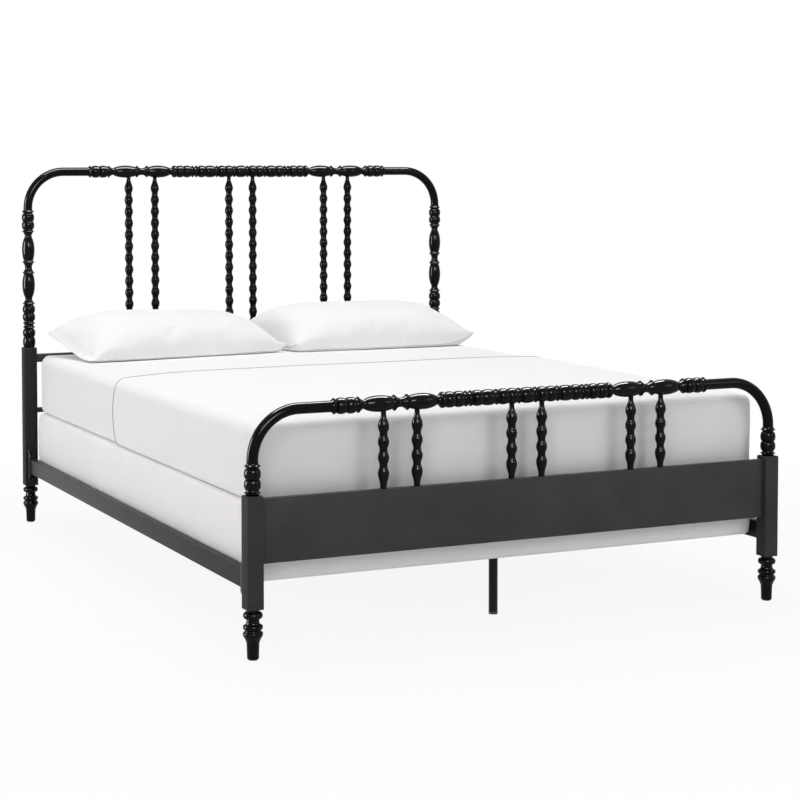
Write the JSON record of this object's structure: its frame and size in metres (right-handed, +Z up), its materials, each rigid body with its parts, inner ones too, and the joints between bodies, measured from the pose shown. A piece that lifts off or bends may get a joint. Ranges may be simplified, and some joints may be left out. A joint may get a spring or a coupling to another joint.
{
  "type": "spindle bed",
  "caption": "Queen size bed with beaded head and foot rails, bent tube corners, paired beaded spindles, a plain foot panel, side rails, centre legs, box spring, mattress, coverlet and pillows",
  "frame": {"origin": "on the floor under the middle of the bed", "axes": "+X to the right as seen from the foot of the bed, +Y towards the head, +Z up"},
  "size_m": [1.6284, 2.1806, 1.2428],
  "materials": {
    "black_wood": "satin",
    "black_gloss_wood": "gloss",
    "black_gloss_steel": "gloss",
    "black_steel": "satin",
    "zinc_bolts": "satin",
    "black_plastic": "matte",
    "white_cotton": "matte",
    "white_ticking": "matte"
  },
  "bodies": {
    "frame": {"turned_foot_head_left": "black_gloss_wood", "head_post_left": "black_wood", "head_stile_left": "black_gloss_wood", "head_corner_left": "black_gloss_steel", "rail_bracket_head_left": "black_steel", "turned_foot_head_right": "black_gloss_wood", "head_post_right": "black_wood", "head_stile_right": "black_gloss_wood", "head_corner_right": "black_gloss_steel", "rail_bracket_head_right": "black_steel", "head_rail": "black_gloss_wood", "head_spindles_left": "black_gloss_wood", "head_spindles_middle": "black_gloss_wood", "head_spindles_right": "black_gloss_wood", "turned_foot_foot_left": "black_gloss_wood", "foot_post_left": "black_wood", "foot_stile_left": "black_gloss_wood", "foot_corner_left": "black_gloss_steel", "rail_bracket_foot_left": "black_steel", "turned_foot_foot_right": "black_gloss_wood", "foot_post_right": "black_wood", "foot_stile_right": "black_gloss_wood", "foot_corner_right": "black_gloss_steel", "rail_bracket_foot_right": "black_steel", "foot_rail": "black_gloss_wood", "foot_spindles_left": "black_gloss_wood", "foot_spindles_middle": "black_gloss_wood", "foot_spindles_right": "black_gloss_wood", "foot_panel": "black_wood", "head_upper_crossrail": "black_wood", "head_lower_crossrail": "black_wood", "foot_glides": "black_plastic", "side_rail_left": "black_steel", "side_rail_right": "black_steel", "bracket_bolts": "black_steel", "support_cradles": "black_steel", "leg_bolts": "zinc_bolts", "leg_nuts": "zinc_bolts", "leg_inserts": "black_plastic", "cross_support_foot": "black_steel", "centre_leg_foot": "black_steel", "cross_support_middle": "black_steel", "centre_leg_middle": "black_steel", "cross_support_head": "black_steel", "centre_leg_head": "black_steel"},
    "leveller_foot": {"leg_leveller_foot": "black_plastic"},
    "leveller_middle": {"leg_leveller_middle": "black_plastic"},
    "leveller_head": {"leg_leveller_head": "black_plastic"},
    "box_spring": {"box_spring": "white_ticking"},
    "mattress": {"mattress": "white_cotton", "coverlet": "white_cotton"},
    "pillow_left": {"pillow_left": "white_cotton"},
    "pillow_right": {"pillow_right": "white_cotton"}
  },
  "joints": [
    {"name": "box_spring_lift", "type": "slide", "parent": "frame", "child": "box_spring", "axis": [0, 0, 1], "range_m": [0, 0.5]},
    {"name": "mattress_lift", "type": "slide", "parent": "box_spring", "child": "mattress", "axis": [0, 0, 1], "range_m": [0, 0.4]},
    {"name": "pillow_left_lift", "type": "slide", "parent": "mattress", "child": "pillow_left", "axis": [0, 0, 1], "range_m": [0, 0.3]},
    {"name": "pillow_right_lift", "type": "slide", "parent": "mattress", "child": "pillow_right", "axis": [0, 0, 1], "range_m": [0, 0.3]},
    {"name": "leveller_foot_screw", "type": "slide", "parent": "frame", "child": "leveller_foot", "axis": [0, 0, -1], "range_m": [0, 0.012]},
    {"name": "leveller_middle_screw", "type": "slide", "parent": "frame", "child": "leveller_middle", "axis": [0, 0, -1], "range_m": [0, 0.012]},
    {"name": "leveller_head_screw", "type": "slide", "parent": "frame", "child": "leveller_head", "axis": [0, 0, -1], "range_m": [0, 0.012]}
  ]
}
